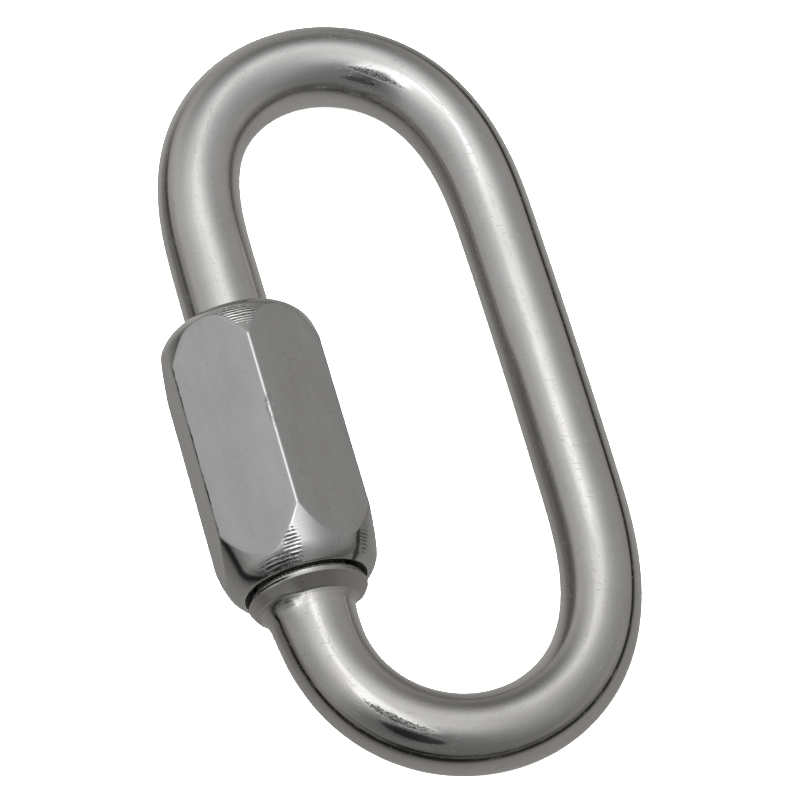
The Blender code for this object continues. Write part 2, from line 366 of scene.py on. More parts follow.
# %% Build the rod
def make_rod():
    """The whole link body as one closed tube."""
    centres, headings, along, radii = rod_rows()
    outward = np.stack([headings[:, 1], -headings[:, 0]], axis=1)
    aside = radii * np.cos(turns)
    above = radii * np.sin(turns)
    rings = np.empty((*radii.shape, 3))
    rings[:, :, 0] = centres[:, :1] + outward[:, :1] * aside
    rings[:, :, 1] = centres[:, 1:] + outward[:, 1:] * aside
    rings[:, :, 2] = above
    rod = tube_mesh("polished_rod", rings)
    straightened = np.stack([np.broadcast_to(along[:, None], radii.shape), aside, above], axis=-1)
    give_values(rod, "straightened", straightened.reshape(-1, 3), "FLOAT_VECTOR")
    return rod


rod = make_rod()
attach(rod, "link")
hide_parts("link_body")

# %% [markdown]
# ## The sleeve nut
# The nut starts as hexagon bar. Its ends are turned to a cone that runs into a round, so each
# flat ends in a curved line, lowest at its middle and reaching far down at the corners. A
# Boolean of a turned sleeve and a hexagon gives that form, as the solids do. Here the line is
# worked out instead: on each column of the grid, the turned profile is asked how deep it
# reaches that column's radius, and a row of the grid is put exactly there.

# %% Hexagon columns: angle and radius
ACROSS_FLATS = 9.39
CORNER_ROUND = 0.15
NUT_TURN = math.radians(1.7)
FLAT_COLUMNS = 32
CORNER_COLUMNS = 8


def hexagon_columns():
    """Angle and radius of each column, six flats and six slightly broken corners."""
    apothem = ACROSS_FLATS / 2
    half_flat = (apothem - CORNER_ROUND) * math.tan(math.radians(30))
    flat = np.linspace(-half_flat, half_flat, FLAT_COLUMNS + 1)
    points = [(apothem, across) for across in flat]
    centre = np.array([apothem - CORNER_ROUND, half_flat])
    for step in range(1, CORNER_COLUMNS):
        turn = math.radians(60) * step / CORNER_COLUMNS
        points.append(centre + CORNER_ROUND * np.array([math.cos(turn), math.sin(turn)]))
    points = np.array(points)
    angles, radii = np.arctan2(points[:, 1], points[:, 0]), np.hypot(points[:, 0], points[:, 1])
    first_flat = math.radians(90 - 30) - NUT_TURN
    angles = np.concatenate([angles + first_flat + math.radians(60) * side for side in range(6)])
    return angles, np.tile(radii, 6)


# %% Turned ends and threaded bore
# Each turned end: radius of its rim, size of its round, and the slopes where the round meets
# the lip and where it meets the cone, in degrees. The lower end was cut a little deeper.
LOWER_END = (3.93, 2.24, 50, 17)
UPPER_END = (4.00, 2.30, 54, 16)
LIP_ROUND = 0.15
LIP_SLOPE = 85
ROUND_STEPS = 24
FACE_ROWS = 4
FACE_MARGIN = 0.03
END_ROWS = 30
END_ROW_CROWDING = 1.6
FLAT_ROWS = 36
EDGE_ROUND = 0.035
EDGE_SAG = 0.12
MOUTH_RADIUS = 3.85
NUT_CREST = 2.74
NUT_ROOT = 3.04
COUNTERSINK = 0.62
RELIEF_RADIUS = 3.08
RELIEF_LENGTH = 3.0
NUT_THREAD_STEP = PITCH / 12


def turned_end(end):
    """Depths and radii of a turned profile, from the end face to past the corners."""
    rim, end_round, lip_meets, cone_meets = end
    depths, radii = np.zeros(1), np.full(1, rim)
    rounds = ((LIP_ROUND, LIP_SLOPE, lip_meets), (end_round, lip_meets, cone_meets))
    for size, start, stop in rounds:
        slopes = np.radians(np.linspace(start, stop, ROUND_STEPS))
        radii = np.append(radii, radii[-1] + size * (np.cos(slopes[1:]) - math.cos(slopes[0])))
        depths = np.append(depths, depths[-1] + size * (math.sin(slopes[0]) - np.sin(slopes[1:])))
    past = ACROSS_FLATS - radii[-1]
    radii = np.append(radii, radii[-1] + past)
    depths = np.append(depths, depths[-1] + past / math.tan(math.radians(cone_meets)))
    return depths, radii


def end_face(columns, end):
    """Radii of the flat ring between the bore's mouth and the lip."""
    radii = np.linspace(MOUTH_RADIUS + FACE_MARGIN, end[0] - FACE_MARGIN, FACE_ROWS)
    return radii[:, None] * np.ones(len(columns))


def outer_half(columns, end):
    """Rows from the end face's rim to the nut's middle, as depths and radii by column."""
    depths, radii = turned_end(end)
    edge = np.interp(columns, radii, depths)
    share = np.linspace(0, 1, END_ROWS) ** END_ROW_CROWDING
    turned_depths = share[:, None] * (edge - EDGE_ROUND)
    turned_radii = np.interp(turned_depths, depths, radii)
    middle = NUT_LENGTH / 2
    steps = np.linspace(0, 1, FLAT_ROWS // 2)[:, None]
    flat_depths = edge + EDGE_ROUND + steps * (middle - edge - EDGE_ROUND)
    flat_radii = np.broadcast_to(columns, flat_depths.shape)
    edge_radii = columns - EDGE_ROUND * EDGE_SAG
    all_depths = np.vstack([turned_depths, edge[None], flat_depths])
    all_radii = np.vstack([turned_radii, edge_radii[None], flat_radii])
    is_turned = np.concatenate([np.ones(END_ROWS), [0.5], np.zeros(len(flat_depths))])
    return all_depths, all_radii, is_turned


def bore_rows(angles):
    """Rows down the bore, from the upper mouth to the lower one, as heights and radii."""
    top = NUT_LENGTH
    relief_end = top - RELIEF_LENGTH
    heights = np.concatenate([
        [top - 0.02, top - COUNTERSINK * 0.5, top - COUNTERSINK, top - COUNTERSINK - 0.1],
        [relief_end + 0.3],
        np.arange(relief_end, 0.1, -NUT_THREAD_STEP),
        [0.03],
    ])
    ridges = ridge(heights[:, None] + NUT_SEAT_GAP + PITCH / 2, angles, CREST_SHARE, CREST_SHARE)
    radii = NUT_ROOT - (NUT_ROOT - NUT_CREST) * ridges
    radii = np.where(heights[:, None] > relief_end - 0.02, RELIEF_RADIUS, radii)
    from_mouth = np.minimum(heights, top - heights)[:, None]
    cone = MOUTH_RADIUS - from_mouth * (MOUTH_RADIUS - NUT_CREST) / (COUNTERSINK * 1.4)
    return heights, np.maximum(radii, cone)


# %% Build the nut
def make_nut():
    """The nut as one tube that is closed on itself: outside up, over the top, down the bore."""
    angles, columns = hexagon_columns()
    depths, radii, is_turned = outer_half(columns, LOWER_END)
    upper_depths, upper_radii, _ = outer_half(columns, UPPER_END)
    bore_heights, bore_radii = bore_rows(angles)
    face, upper_face = end_face(columns, LOWER_END), end_face(columns, UPPER_END)
    flat_face = np.zeros_like(face)
    heights = np.vstack([
        flat_face, depths, NUT_LENGTH - upper_depths[::-1][1:], NUT_LENGTH - flat_face,
        np.repeat(bore_heights[:, None], len(columns), axis=1),
    ])
    all_radii = np.vstack([face, radii, upper_radii[::-1][1:], upper_face[::-1], bore_radii])
    turned = np.concatenate([
        np.ones(len(face)), is_turned, is_turned[::-1][1:], np.ones(len(face)),
        np.ones(len(bore_heights)),
    ])
    rings = np.empty((*all_radii.shape, 3))
    rings[:, :, 0] = NUT_SIDE - all_radii * np.cos(angles)
    rings[:, :, 1] = heights + NUT_SEAT_GAP
    rings[:, :, 2] = all_radii * np.sin(angles)
    nut = tube_mesh("sleeve_nut_turned", rings[::-1], closed=True)
    own = np.stack([heights, all_radii * np.cos(angles), all_radii * np.sin(angles)], axis=-1)
    give_values(nut, "own_place", own[::-1].reshape(-1, 3), "FLOAT_VECTOR")
    give_values(nut, "turned", np.repeat(turned[::-1], len(columns)))
    inside = np.arange(len(all_radii)) >= len(all_radii) - len(bore_radii)
    give_values(nut, "inside", np.repeat(inside[::-1], len(columns)))
    return nut


nut = make_nut()
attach(nut, "nut")
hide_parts("sleeve_nut")

# %% [markdown]
# ## Shader sums written as sums
# A finish is a formula: speckle times wear, plus a line here and there. Linking Math nodes one
# by one hides that formula, so a small class wraps a socket and lets Python's own signs add the
# nodes. Every other node comes from one method, which sets the node up before it is linked.


# %% A wire with arithmetic, and a graph that adds nodes
class Wire:
    """A value that flows between nodes. Sums on wires add Math nodes to their graph."""

    def __init__(self, graph, socket):
        self.graph = graph
        self.socket = socket

    def maths(self, operation, first, second):
        return self.graph.add("ShaderNodeMath", {"operation": operation}, {0: first, 1: second})

    def __add__(self, other):
        return self.maths("ADD", self, other)

    def __mul__(self, other):
        return self.maths("MULTIPLY", self, other)

    def __sub__(self, other):
        return self.maths("SUBTRACT", self, other)

    def __rsub__(self, other):
        return self.maths("SUBTRACT", other, self)

    def __truediv__(self, other):
        return self.maths("DIVIDE", self, other)

    def __pow__(self, other):
        return self.maths("POWER", self, other)

    __radd__ = __add__
    __rmul__ = __mul__

    def at_least(self, other):
        return self.maths("MAXIMUM", self, other)

    def at_most(self, other):
        return self.maths("MINIMUM", self, other)

    def angle_from(self, level):
        return self.maths("ARCTAN2", self, level)

    def exponential(self):
        return self.graph.add("ShaderNodeMath", {"operation": "EXPONENT"}, {0: self})

    def sine(self):
        return self.graph.add("ShaderNodeMath", {"operation": "SINE"}, {0: self})

    def arcsine(self):
        return self.graph.add("ShaderNodeMath", {"operation": "ARCSINE"}, {0: self})


class Graph:
    """The nodes of one material, or of the world."""

    def __init__(self, owner):
        owner.use_nodes = True
        self.tree = owner.node_tree
        self.tree.nodes.clear()

    def add(self, kind, settings=None, inputs=None, output=0):
        """Add a node: first its settings, then a value or a wire for each socket named."""
        node = self.tree.nodes.new(kind)
        for name, setting in (settings or {}).items():
            setattr(node, name, setting)
        for socket, value in (inputs or {}).items():
            if isinstance(value, Wire):
                self.tree.links.new(value.socket, node.inputs[socket])
            else:
                node.inputs[socket].default_value = value
        return Wire(self, node.outputs[output]) if node.outputs else None

    def mixed(self, share, low, high):
        """A colour between two colours."""
        return self.add("ShaderNodeMix", {"data_type": "RGBA"}, {0: share, 6: low, 7: high}, 2)

    def stretched(self, place, stretch):
        """A place with each of its three lengths multiplied."""
        return self.add("ShaderNodeVectorMath", {"operation": "MULTIPLY"}, {0: place, 1: stretch})

    def noise(self, place, scale, detail=2.0, roughness=0.5):
        """Cloudy values round 0.5."""
        return self.add("ShaderNodeTexNoise", {}, {
            "Vector": place, "Scale": scale, "Detail": detail, "Roughness": roughness,
        })

    def split(self, place):
        """The three lengths of a place, each as a wire."""
        parts = self.add("ShaderNodeSeparateXYZ", {}, {0: place}).socket.node.outputs
        return [Wire(self, part) for part in parts]

    def step(self, value, low, high):
        """0 below low, 1 above high, and a soft step between them."""
        return self.add("ShaderNodeMapRange", {"interpolation_type": "SMOOTHSTEP"}, {
            "Value": value, "From Min": low, "From Max": high, "To Min": 0.0, "To Max": 1.0,
        })


def grey(value, warmth=0.0):
    """A colour near grey: warmth above 0 leans to brown, below 0 to blue."""
    return (value * (1 + warmth * 0.6), value, value * (1 - warmth), 1)


print("wires ready")

# %% [markdown]
# ## Steel of the rod
# The rod was drawn through a die, bent, and tumbled bright. It is smooth but not perfect: a
# faint waviness from the drawing, fine pits, a few light scratches, and a duller inner side that
# the polishing never reached. Pits and scratches are far too small for the mesh, so a Bump node
# tilts the light there instead. The textures read the straightened place that was kept with
# each point, so that draw lines and scratches follow the bends.

# %% Marks that any worn steel has, and the painted shade of gaps
ROUND_RADIUS = 2.5
EDGE_TINT = grey(0.86)
# Painted shade: a dull near-black for the shadowed gap between the nut's end and the collar
GAP_SHADE = grey(0.010, 0.15)


def scratches(graph, spread, turn, length, width, rarity):
    """Short thin lines on a flat spread place, all at one slant. Higher rarity, fewer lines."""
    slanted = graph.add("ShaderNodeMapping", {"vector_type": "TEXTURE"}, {
        "Vector": spread,
        "Rotation": (0, 0, math.radians(turn)),
        "Scale": (length, width, 1.0),
    })
    return graph.step(graph.noise(slanted, 1.0, 0.0), rarity, rarity + 0.05)


def steel_surface(material, graph, colour, rough, height, metal_share=1.0):
    """The metal shader that both pieces share. Where the last value is below 1, it is a dull
    non-metal: the painted shade of the gaps.
    """
    bump = graph.add(
        "ShaderNodeBump", {}, {"Strength": 1.0, "Distance": MM, "Height": height}, "Normal"
    )
    surface = graph.add("ShaderNodeBsdfPrincipled", {}, {
        "Base Color": colour,
        "Metallic": metal_share,
        "Roughness": rough,
        "Normal": bump,
        "Specular Tint": EDGE_TINT,
    })
    graph.add("ShaderNodeOutputMaterial", {}, {"Surface": surface})
    print(f"{material.name}: {len(graph.tree.nodes)} nodes")


# %% Rod finish
ROD_ROUGHNESS = 0.065
INNER_ROUGHNESS = 0.14
COLLAR_ROUGHNESS = 0.12
LIGHT_STEEL = grey(0.665, 0.02)
DARK_STEEL = grey(0.485, 0.045)
# Darker steel for the die marks and for the dark reflections painted at the bends
DIE_MARK_AND_REFLECTION_STEEL = grey(0.15, 0.03)
# Painted light: the steel is painted a little lighter towards the upper end, by this much for each
# metre
PAINTED_LIGHT_NORTH = 10.5
# Depths of what the polish left, in millimetres
WAVE_HEIGHT = 0.0030
LINE_HEIGHT = 0.0005
GRAIN_HEIGHT = 0.0004
COLLAR_GRAIN = 0.002
INNER_GRAIN = 0.0003
PIT_DEPTH = 0.007
SCRATCH_DEPTH = 0.004
BITE_DEPTH = 0.004
RAGGED_DEPTH = 0.012
# Painted shade in the neck above the rim, where the nut's end shadows it, rough forged skin on the
# collar, and waves that the dies pressed into the rod below it, each from one place along the rod to
# another
NECK_START = (1.69, 1.74)
FORGED_START = (-1.52, -1.42)
FORGED_END = (0.45, 0.60)
FORGED_ROUGHNESS = 0.22
NECK_END = (-3.1, -2.8)
PRESSED_END = (-0.20, -0.55)
PRESSED_HEIGHT = 0.014
# Where the bending dies bit, and where dark reflections are painted on as darker steel: length
# along, angle, half length, half width, and cover. With a cover of 1 the specks run together into
# one painted dark reflection.
DIE_MARKS_AND_DARK_REFLECTIONS = {
    "upper streak": (67.0, 134.5, 1.8, 0.20, 0.60),
    "upper speckle": (66.0, 120, 2.4, 0.25, 0.30),
    "lower scratch": (8.7, 66.8, 2.2, 0.24, 0.25),
    "lower dark reflection": (9.75, 53.5, 2.0, 0.26, 1.0),
}


def die_mark_and_reflection(graph, along, around, ragged, mark):
    """Speckled patch where a die bit the rod, which also paints a dark reflection as darker steel.
    With more cover the specks run together.
    """
    middle, angle, half_length, half_width, cover = mark
    lengthwise = (along - middle) / half_length
    sideways = (around - math.radians(angle)) * ROUND_RADIUS / half_width
    inside = 1 - (lengthwise * lengthwise + sideways * sideways)
    patch = graph.step(inside + (ragged - 0.5) * (2 - 1.6 * cover), 0.0, 0.9 - cover * 0.4)
    specks = graph.step(ragged, 0.43, 0.55)
    return patch * (specks * (1 - cover) + cover)


def finish_rod():
    """Bright polished steel with draw lines, pits, scratches and the marks of the dies, dark
    reflections painted as darker steel in those marks, and painted shade in the neck.
    """
    material = bpy.data.materials.new("polished_steel")
    graph = Graph(material)
    place = graph.add("ShaderNodeAttribute", {"attribute_name": "straightened"}, {}, "Vector")
    along, aside, above = graph.split(place)
    around = above.angle_from(aside)
    spread = graph.add("ShaderNodeCombineXYZ", {}, {"X": along, "Y": around * ROUND_RADIUS})

    waves = graph.noise(graph.stretched(place, (0.35, 1.1, 1.1)), 1.0, 2.0)
    lines = graph.noise(graph.stretched(place, (0.5, 9.0, 9.0)), 1.0, 3.0, 0.6)
    grain = graph.noise(place, 11.0, 3.0, 0.65)
    ragged = graph.noise(graph.stretched(place, (5.5, 10.0, 10.0)), 1.0, 2.0, 0.75)
    pits = graph.step(graph.noise(place, 6.5, 1.0), 0.72, 0.78)
    marks = scratches(graph, spread, 14, 1.3, 0.06, 0.755)
    marks = marks.at_least(scratches(graph, spread, 72, 0.9, 0.06, 0.775))
    marks = marks.at_least(scratches(graph, spread, -38, 0.7, 0.05, 0.785))
    patches = along * 0.0
    for mark in DIE_MARKS_AND_DARK_REFLECTIONS.values():
        patches = patches.at_least(die_mark_and_reflection(graph, along, around, ragged, mark))

    inner = graph.step(aside * -1.0, 0.9, 2.1)
    collar = graph.step(along * -1.0, 0.02, 0.12)
    forged = graph.step(along, *FORGED_START) * graph.step(along * -1.0, *FORGED_END)
    crumpled = graph.noise(place, 3.6, 3.0, 0.6) * graph.step(along, *PRESSED_END)
    crumpled = crumpled * PRESSED_HEIGHT
    clouds = graph.noise(place, 0.45, 3.0, 0.55)
    north = graph.split(graph.add("ShaderNodeTexCoord", {}, {}, "Object"))[1]
    # Painted shade: the collar and the stub above it are painted a little darker, as the collar's
    # cone faces away from the light
    shade = clouds * 0.45 + grain * 0.35 + lines * 0.15 + pits * 0.35 + collar * 0.15
    shade = shade - north * PAINTED_LIGHT_NORTH
    colour = graph.mixed(shade, LIGHT_STEEL, DARK_STEEL)
    # Painted reflection: die marks, and the dark reflections at the bends, are painted as darker
    # steel
    colour = graph.mixed(patches, colour, DIE_MARK_AND_REFLECTION_STEEL)
    # Painted shade: the neck above the rim, shadowed by the nut's end, is painted dull near-black
    neck = graph.step(along * -1.0, *NECK_START) * graph.step(along, *NECK_END)
    colour = graph.mixed(neck, colour, GAP_SHADE)
    rough = ROD_ROUGHNESS + inner * INNER_ROUGHNESS + collar * COLLAR_ROUGHNESS + pits * 0.2
    rough = rough + (clouds - 0.5) * 0.06 + (grain - 0.5) * 0.05 + marks * 0.10
    rough = rough + forged * FORGED_ROUGHNESS
    height = waves * WAVE_HEIGHT + lines * LINE_HEIGHT
    height = height + grain * (GRAIN_HEIGHT + collar * COLLAR_GRAIN - inner * INNER_GRAIN) + crumpled
    height = height - pits * PIT_DEPTH - marks * SCRATCH_DEPTH
    height = height - patches * (BITE_DEPTH + ragged * RAGGED_DEPTH)
    steel_surface(material, graph, colour, rough + neck * 0.5, height, 1 - neck)
    rod.data.materials.append(material)


finish_rod()

# %% [markdown]
# ## Steel of the nut
# The flats are as the hexagon bar came: dull, a little uneven, with faint streaks along them and
# one nick in the upper edge. The turned ends carry the marks of the tool: fine rings that glint
# where a lamp is near, and deeper grooves where the tool chattered. Shade is painted dark into
# those grooves, along the burr on one corner and in a band down one line of the lower end, and
# the bore is painted near-black as shade. Two corners are worn bright and also painted as a
# highlight, and two bands of the turned ends are painted lighter as highlights. Separate pieces
# for these would be too fine for a mesh, so one material paints and bumps them all.
# Which part is flat, turned or inside the bore was kept with each point.

# %% Nut finish
NUT_ROUGHNESS = 0.33
TURNED_ROUGHNESS = 0.11
TURNING_PITCH = 0.21
NUT_LIGHT_STEEL = grey(0.62, 0.0)
NUT_DARK_STEEL = grey(0.455, 0.02)
# Lighter steel: the worn corners, and the painted highlights on the turned ends
WEAR_AND_HIGHLIGHT_STEEL = grey(0.92, 0.02)
# Near-black for painted shade: along the burr, in the tool's grooves and in one band of the lower
# end
PAINTED_SHADE_STEEL = grey(0.03, 0.03)
# Two painted highlight bands on the turned ends, by their place across the nut and where they start
STREAK_MIDDLE = 0.40
STREAK_WIDTH = 1.0
STREAK_START = (3.3, 3.9)
GLINT_BAND_MIDDLE = 2.5
GLINT_BAND_WIDTH = 1.0
GLINT_BAND_START = (2.5, 3.1)
GLINT_BAND_STRENGTH = 0.35
# The corners that rub bright, and are painted lighter as a highlight too, by the square of how far
# out they reach
WORN_AND_HIGHLIGHTED_CORNER = (28.72, 28.92)
NICK_PLACE = (9.7, 0.05, 5.36)
NICK_SIZE = (0.75, 0.22, 0.30)
NICK_DEPTH = 0.026
# Painted shade along the burr on one corner, a duller side of the turned ends, and a painted dark
# reflection in a band down one line of the lower end
BURR_ANGLE = math.radians(28.9)
BURR_WIDTH = 0.035
BURR_START = (1.6, 2.0)
DULL_START = (0.2, 1.3)
DULL_ROUGHNESS = 0.17
DENT_ANGLE = math.radians(132.4)
DENT_WIDTH = 0.25
DENT_END = (3.0, 2.0)
DENT_SHADE = 0.8
GROOVE_SHADE = 0.85
TICK_SHADE = 1.4
TICK_DEPTH = 0.004
RING_WANDER = 6
RING_HEIGHT = 0.0016
FINE_RING_HEIGHT = 0.0014
GROOVE_HEIGHT = 0.014
FINE_GROOVE_HEIGHT = 0.004
# Where the turning tool chattered: place and size
TOOL_BITES = (
    ((1.05, 0.95, 4.5), (0.90, 0.36, 0.8)),
    ((0.35, 1.90, 3.8), (0.30, 0.85, 0.8)),
    ((1.15, -3.55, 2.95), (0.70, 0.30, 0.35)),
    ((16.4, 0.6, 4.6), (0.60, 1.10, 0.8)),
)


def finish_nut():
    """Dull rolled flats and turned ends with fine rings."""
    material = bpy.data.materials.new("nut_steel")
    graph = Graph(material)
    place = graph.add("ShaderNodeAttribute", {"attribute_name": "own_place"}, {}, "Vector")
    turned = graph.add("ShaderNodeAttribute", {"attribute_name": "turned"}, {}, "Fac")
    inside = graph.add("ShaderNodeAttribute", {"attribute_name": "inside"}, {}, "Fac")
    up, across, out = graph.split(place)

    swells = graph.noise(graph.stretched(place, (0.10, 0.38, 0.38)), 1.0, 1.0)
    clouds = graph.noise(graph.stretched(place, (0.30, 0.9, 0.9)), 1.0, 3.0, 0.55)
    streaks = graph.noise(graph.stretched(place, (0.35, 6.0, 6.0)), 1.0, 3.0, 0.6)
    grain = graph.noise(place, 9.0, 3.0, 0.6)
    ragged = graph.noise(graph.stretched(place, (1.5, 4.0, 4.0)), 1.0, 3.0, 0.65)
    pits = graph.step(graph.noise(place, 4.5, 1.0), 0.73, 0.79)
    spread = graph.add("ShaderNodeCombineXYZ", {}, {"X": up, "Y": out - across, "Z": out + across})
    ticks = scratches(graph, spread, 40, 0.55, 0.10, 0.785)
    ticks = ticks.at_least(scratches(graph, spread, -25, 0.45, 0.09, 0.795))
    # Painted shade: a ragged dark line beside the burr on one corner
    beyond = out * math.cos(BURR_ANGLE) - across * math.sin(BURR_ANGLE)
    burr = graph.step(BURR_WIDTH - (beyond * beyond) ** 0.5 + (ragged - 0.5) * 0.16, 0.0, 0.03)
    burr = burr * graph.step(across, 0.0, 1.0) * graph.step(up, *BURR_START)
    # Painted shade: a dark band down one line of the lower turned end, where a dark reflection lies
    off_dent = across * math.sin(DENT_ANGLE) - out * math.cos(DENT_ANGLE)
    dent = graph.step(DENT_WIDTH - (off_dent * off_dent) ** 0.5 + (ragged - 0.5) * 0.5, 0.0, 0.12)
    dent = dent * graph.step(out, 0.0, 1.0) * graph.step(up, *DENT_END) * turned
    near_nick = graph.add("ShaderNodeMapping", {"vector_type": "TEXTURE"}, {
        "Vector": place, "Location": NICK_PLACE, "Scale": NICK_SIZE,
    })
    nick = graph.add("ShaderNodeVectorMath", {"operation": "LENGTH"}, {0: near_nick}, "Value")
    nick = graph.step(1.4 - nick + (grain - 0.5) * 3.0, 0.0, 0.6)
    patches = up * 0.0
    for middle, size in TOOL_BITES:
        near_bite = graph.add("ShaderNodeMapping", {"vector_type": "TEXTURE"}, {
            "Vector": place, "Location": middle, "Scale": size,
        })
        far = graph.add("ShaderNodeVectorMath", {"operation": "LENGTH"}, {0: near_bite}, "Value")
        patches = patches.at_least(graph.step(2 - far + (streaks - 0.5) * 3.0, 0.4, 1.2))

    uneven = graph.noise(graph.stretched(place, (1.4, 0.8, 0.8)), 1.0, 3.0, 0.65)
    rings = (up * (2 * math.pi / TURNING_PITCH) + uneven * RING_WANDER).sine()
    fine_rings = graph.noise(graph.stretched(place, (14.0, 0.3, 0.3)), 1.0, 2.0, 0.6)
    flat_height = swells * 0.020 + clouds * 0.0040 + streaks * 0.0008 + grain * 0.0006
    flat_height = flat_height - pits * 0.006 - nick * NICK_DEPTH - ticks * TICK_DEPTH
    chatter = graph.step(uneven, 0.45, 0.75) * RING_HEIGHT + patches * GROOVE_HEIGHT
    fine_chatter = FINE_RING_HEIGHT + patches * FINE_GROOVE_HEIGHT
    turned_height = rings * chatter + fine_rings * fine_chatter + grain * 0.0005
    height = flat_height * (1 - turned) + turned_height * turned

    # Painted highlight: a band beside the top corner, a little lighter on the flats and much lighter
    # on the turned ends
    beside = (across - STREAK_MIDDLE) / STREAK_WIDTH
    streak = (beside * beside * -1.0).exponential() * graph.step(out, *STREAK_START)
    beside = (across - GLINT_BAND_MIDDLE) / GLINT_BAND_WIDTH
    glint_band = (beside * beside * -1.0).exponential() * graph.step(out, *GLINT_BAND_START)
    glint_band = glint_band * GLINT_BAND_STRENGTH
    # Two corners, worn and also painted lighter as a highlight
    worn = graph.step(out * out, *WORN_AND_HIGHLIGHTED_CORNER) * (1 - turned)
    shade = clouds * 0.65 + grain * 0.40 + streaks * 0.20 + pits * 0.5
    shade = shade + ticks * TICK_SHADE - streak * 0.20
    # Painted shade: the grooves where the tool chattered are painted dark
    grooves = patches * turned * graph.step(rings + (uneven - 0.5) * 3.0, 0.2, 0.7)
    colour = graph.mixed(shade, NUT_LIGHT_STEEL, NUT_DARK_STEEL)
    # Painted highlights on the turned ends, and the worn corners that also carry a painted highlight
    bright = (streak * turned).at_least(glint_band * turned).at_least(worn)
    colour = graph.mixed(bright, colour, WEAR_AND_HIGHLIGHT_STEEL)
    # Painted shade in the grooves, beside the burr and in the band of the lower end
    painted_shade = (burr * (1 - turned)).at_least(grooves * GROOVE_SHADE).at_least(dent * DENT_SHADE)
    colour = graph.mixed(painted_shade, colour, PAINTED_SHADE_STEEL)
    # Painted shade: the bore, in shadow inside the nut, is painted dull near-black
    colour = graph.mixed(inside, colour, GAP_SHADE)
    rough = NUT_ROUGHNESS + turned * (TURNED_ROUGHNESS - NUT_ROUGHNESS)
    rough = rough + (grain - 0.5) * 0.12 + pits * 0.1
    rough = rough + graph.step(across * -1.0, *DULL_START) * turned * DULL_ROUGHNESS
    steel_surface(material, graph, colour, rough + inside * 0.4, height, 1 - inside)
    nut.data.materials.append(material)


finish_nut()

# %% [markdown]
# ## The studio
# Polished steel has hardly any colour of its own: what we see is the room. So the room is drawn
# with care, as a formula of direction. Every lamp, and every dark shape between the lamps, is a
# soft ball on a globe round the link. One Mapping node places it on the globe, turns it and
# sizes it, just as an object is placed. The table's edge makes the thin dark rings low down,
# which draw the lines along the rod's outer side. A picture of a room would do the same, but
# this stays small and each lamp has a name.

# %% Lamps and dark shapes of the room
# Each has an azimuth, an elevation, a turn, a height, a width, all in degrees, and a brightness.
LAMPS = {
    "window": (80, 60.7, 87, 36.7, 18.4, 0.62),
    "overhead box": (195, 88.1, 51, 16.4, 27.1, 0.67),
    "small box": (75, 68.8, -22, 19.0, 9.3, 0.31),
    "camera stand": (263, 84.6, 25, 21.3, 57.7, -0.36),
    "side lamp": (122, 15.1, -92, 25.4, 13.3, 0.33),
    "far lamp": (29, 12.8, -36, 18.1, 26.0, 0.17),
    "far wall": (91, 9.8, -15, 36.5, 69.8, -0.38),
    "front wall": (307, -2.2, -11, 6.9, 89.5, -0.15),
    "near wall": (173, 0.2, -23, 6.9, 56.5, -0.12),
    "lit table": (70, -52.5, 82, 35.3, 14.8, 0.23),
    "table glow": (99, -17.2, 59, 30.2, 19.9, 0.38),
    "side box": (199, 65.1, -4, 35.2, 11.9, 0.43),
    "front shade": (276, 14.9, 18, 18.3, 70.8, -0.21),
    "doorway": (172, 5, 8, 6, 13, -0.12),
    "inner shade": (150, -23, 0, 7, 18, -0.12),
    "front step": (238, 3, 0, 5, 15, -0.13),
    "under the step": (252, -14, 0, 5, 25, -0.075),
    "front glow": (265, 5, 0, 4, 12, 0.05),
}
# These have a firm edge
CRISP_LAMPS = {
    "white sheet": (111, 88.5, 64, 6.3, 15.8, 0.44),
    "sheet's corner": (200, 76.7, -58, 4.2, 7.4, 0.65),
    "camera": (229, 71.8, -9, 8.2, 5.6, -0.39),
    "lens": (239, 41.6, 67, 8.0, 11.6, -0.11),
    "photographer": (243, 43.3, 20, 24.7, 38.7, -0.15),
    "bright strip": (94, 68.0, 75, 13.5, 2.5, 0.38),
    "sheet's tail": (268, 74.0, 0, 8.5, 4.2, 0.45),
    "window's edge": (95, 59.0, 0, 3.0, 12.0, 0.13),
}
WALL_BRIGHTNESS = 0.442
TABLE_BRIGHTNESS = 0.358
DARKEST = 0.02
TABLE_EDGE = (-12.0, 0.0)
RING_GAP = (0.6, 1.0)
RING_ELEVATION = -7.92
RING_TILT = (-3.85, -2.63)
RING_TWIST = (-1.99, 0.39)
RING_DARKNESS = 0.235
RING_ABOVE = 4.60
RING_BELOW = 8.40
SECOND_RING_LIFT = 10.2
SECOND_RING_WIDTH = 4.56
SECOND_RING_DARKNESS = 0.106
OVERHEAD_COLOUR = grey(1.0, -0.012)
LOW_COLOUR = grey(1.0, 0.035)


def lamp_frame(azimuth, elevation, turn):
    """The turn of a lamp's own axes, its Z pointing at it from the link."""
    return (
        Matrix.Rotation(math.radians(azimuth), 3, "Z")
        @ Matrix.Rotation(math.radians(90 - elevation), 3, "Y")
        @ Matrix.Rotation(math.radians(turn), 3, "Z")
    )


def lamp_light(graph, looking, lamp, crisp=False):
    """Light of one lamp by direction: full at its middle, half at its height and width."""
    azimuth, elevation, turn, height, width, brightness = lamp
    axes = lamp_frame(azimuth, elevation, turn)
    local = graph.add("ShaderNodeMapping", {"vector_type": "TEXTURE"}, {
        "Vector": looking,
        "Location": axes.col[2],
        "Rotation": axes.to_euler(),
        "Scale": (math.sin(math.radians(height)), math.sin(math.radians(width)), 1.0),
    })
    away = graph.add(
        "ShaderNodeVectorMath", {"operation": "DOT_PRODUCT"}, {0: local, 1: local}, "Value"
    )
    if crisp:
        away = away * away
    return (away * math.log(0.5)).exponential() * brightness


